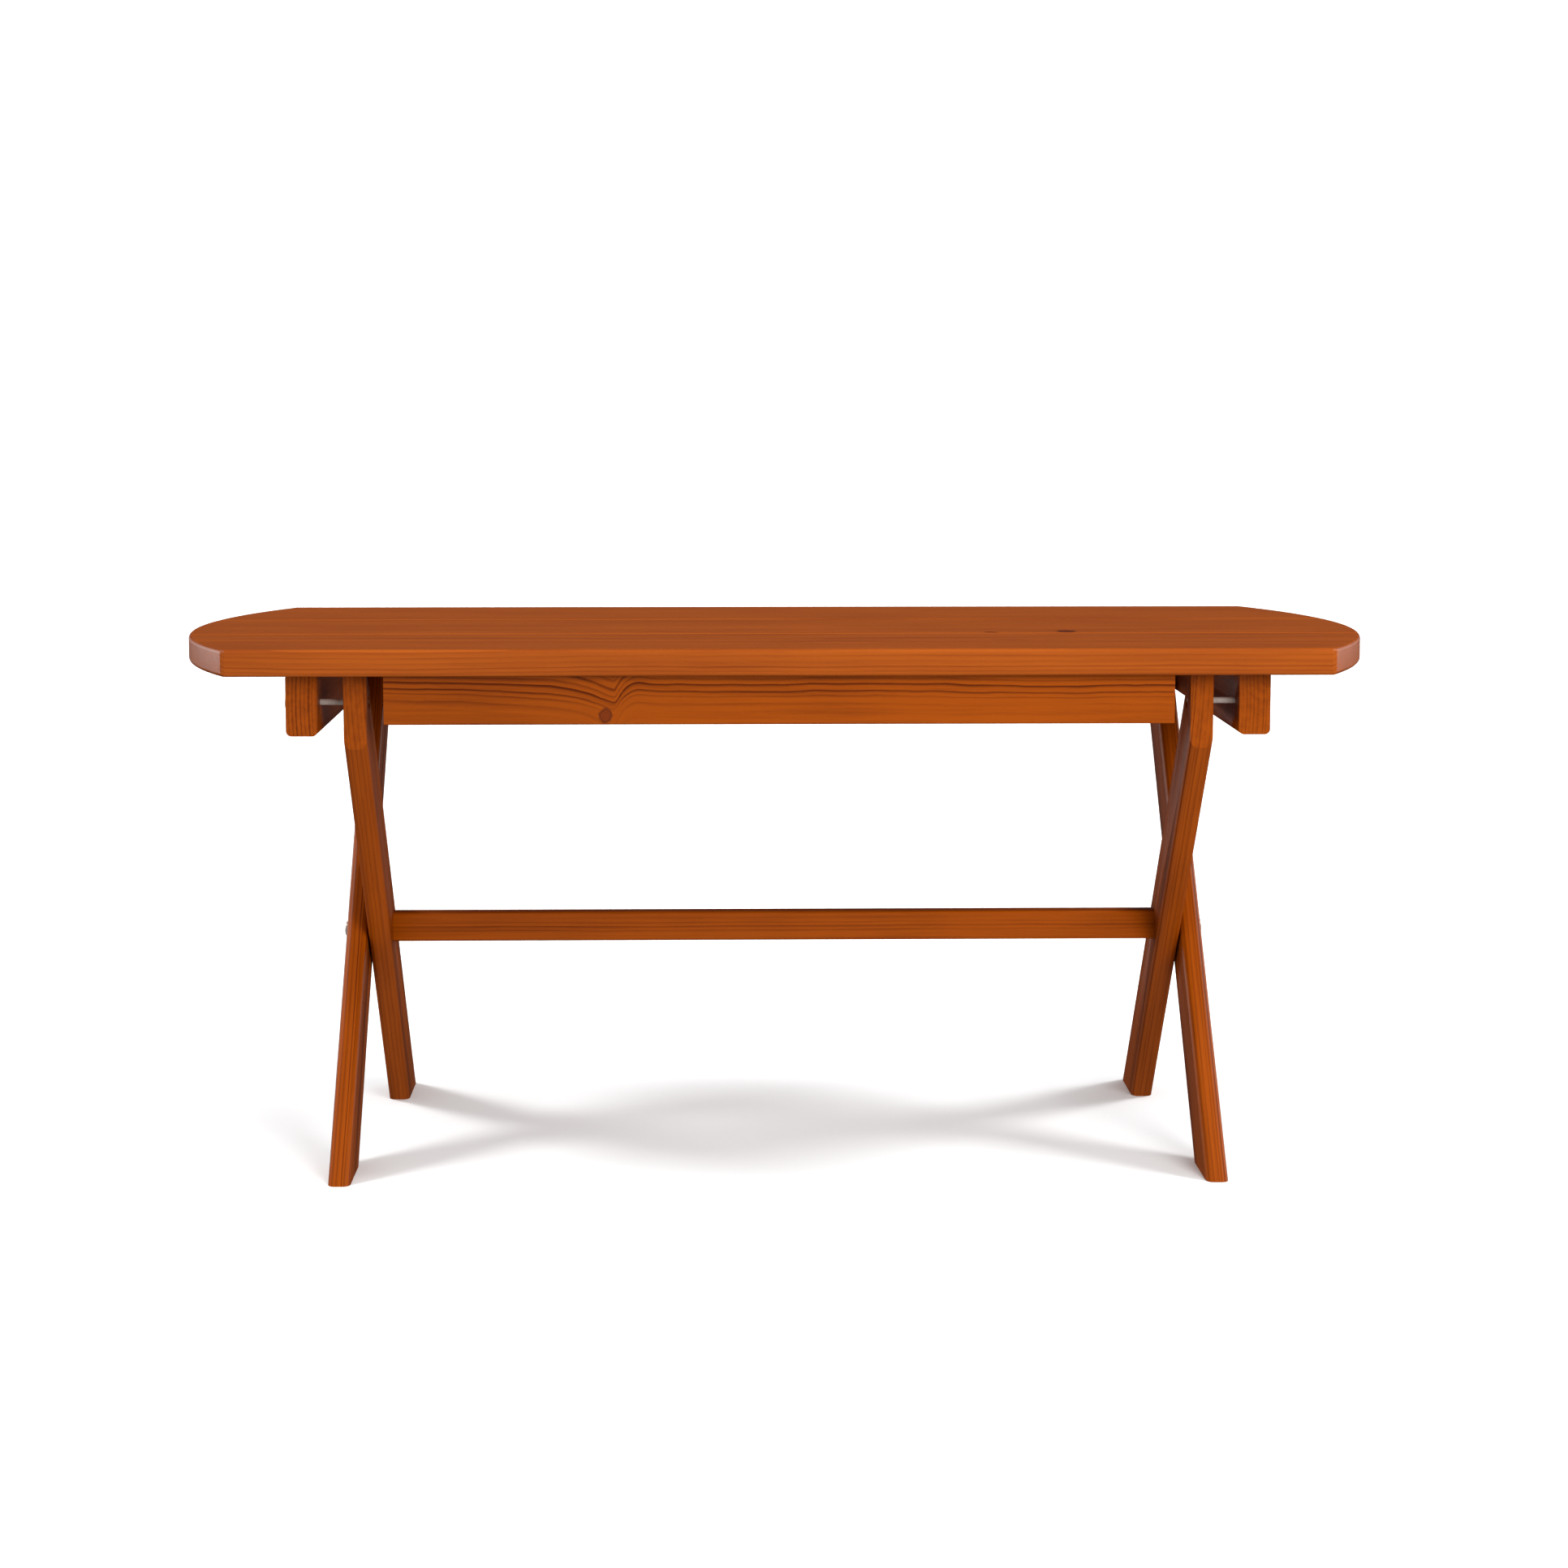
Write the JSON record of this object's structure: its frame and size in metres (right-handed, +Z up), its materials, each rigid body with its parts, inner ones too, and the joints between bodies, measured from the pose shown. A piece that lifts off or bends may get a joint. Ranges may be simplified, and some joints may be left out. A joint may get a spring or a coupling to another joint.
{
  "type": "folding garden table",
  "caption": "Low wooden table with a three-board top with curved ends, on crossed legs that fold flat towards the underside after the wing nuts are loosened.",
  "frame": {"origin": "on the ground, under the middle of the top", "axes": "+X along the table's length, +Y from its front edge to its back edge, +Z up"},
  "size_m": [1.574, 0.8, 0.7],
  "materials": {
    "stained_pine_boards": "reddish-brown stained pine under satin varnish",
    "stained_pine_frame": "amber-brown stained pine under satin varnish",
    "beech": "plain turned beech",
    "zinc_steel": "bright zinc-plated steel"
  },
  "bodies": {
    "top": {"front_board": "stained_pine_boards", "middle_board": "stained_pine_boards", "back_board": "stained_pine_boards", "left_end_batten": "stained_pine_frame", "right_end_batten": "stained_pine_frame", "middle_batten": "stained_pine_frame", "front_apron": "stained_pine_frame", "back_apron": "stained_pine_frame", "end_batten_screws": "zinc_steel", "middle_batten_screws": "zinc_steel", "apron_screws": "zinc_steel", "pivot_bolts": "zinc_steel", "pivot_washers": "zinc_steel", "pivot_lock_nuts": "zinc_steel"},
    "inner_frame": {"left_inner_leg": "stained_pine_frame", "right_inner_leg": "stained_pine_frame", "stretcher": "stained_pine_frame", "stretcher_dowels": "beech", "crossing_bolts": "zinc_steel", "crossing_head_washers": "zinc_steel", "crossing_leg_washers": "zinc_steel", "barrel_nuts": "zinc_steel"},
    "left_outer_leg": {"left_outer_leg": "stained_pine_frame", "left_lock_bolt": "zinc_steel", "left_spacer_washer": "zinc_steel", "left_lock_washer": "zinc_steel"},
    "right_outer_leg": {"right_outer_leg": "stained_pine_frame", "right_lock_bolt": "zinc_steel", "right_spacer_washer": "zinc_steel", "right_lock_washer": "zinc_steel"},
    "left_wing_nut": {"left_wing_nut": "zinc_steel"},
    "right_wing_nut": {"right_wing_nut": "zinc_steel"}
  },
  "joints": [
    {"name": "fold", "type": "hinge", "parent": "top", "child": "inner_frame", "pos_m": [0, -0.3, 0.6255], "axis": [1, 0, 0], "range_deg": [0, 42]},
    {"name": "left_outer_leg_turn", "type": "hinge", "parent": "inner_frame", "child": "left_outer_leg", "pos_m": [-0.5695, 0, 0.284], "axis": [1, 0, 0], "range_deg": [-84.5, 0]},
    {"name": "right_outer_leg_turn", "type": "hinge", "parent": "inner_frame", "child": "right_outer_leg", "pos_m": [0.5695, 0, 0.284], "axis": [1, 0, 0], "range_deg": [-84.5, 0]},
    {"name": "left_wing_nut_turn", "type": "hinge", "parent": "left_outer_leg", "child": "left_wing_nut", "pos_m": [-0.6338, 0.3, 0.6255], "axis": [1, 0, 0], "continuous": true},
    {"name": "right_wing_nut_turn", "type": "hinge", "parent": "right_outer_leg", "child": "right_wing_nut", "pos_m": [0.6338, 0.3, 0.6255], "axis": [1, 0, 0], "continuous": true}
  ],
  "couplings": [
    {"joint": "left_outer_leg_turn", "follows": "fold", "ratio": -2},
    {"joint": "right_outer_leg_turn", "follows": "fold", "ratio": -2}
  ]
}
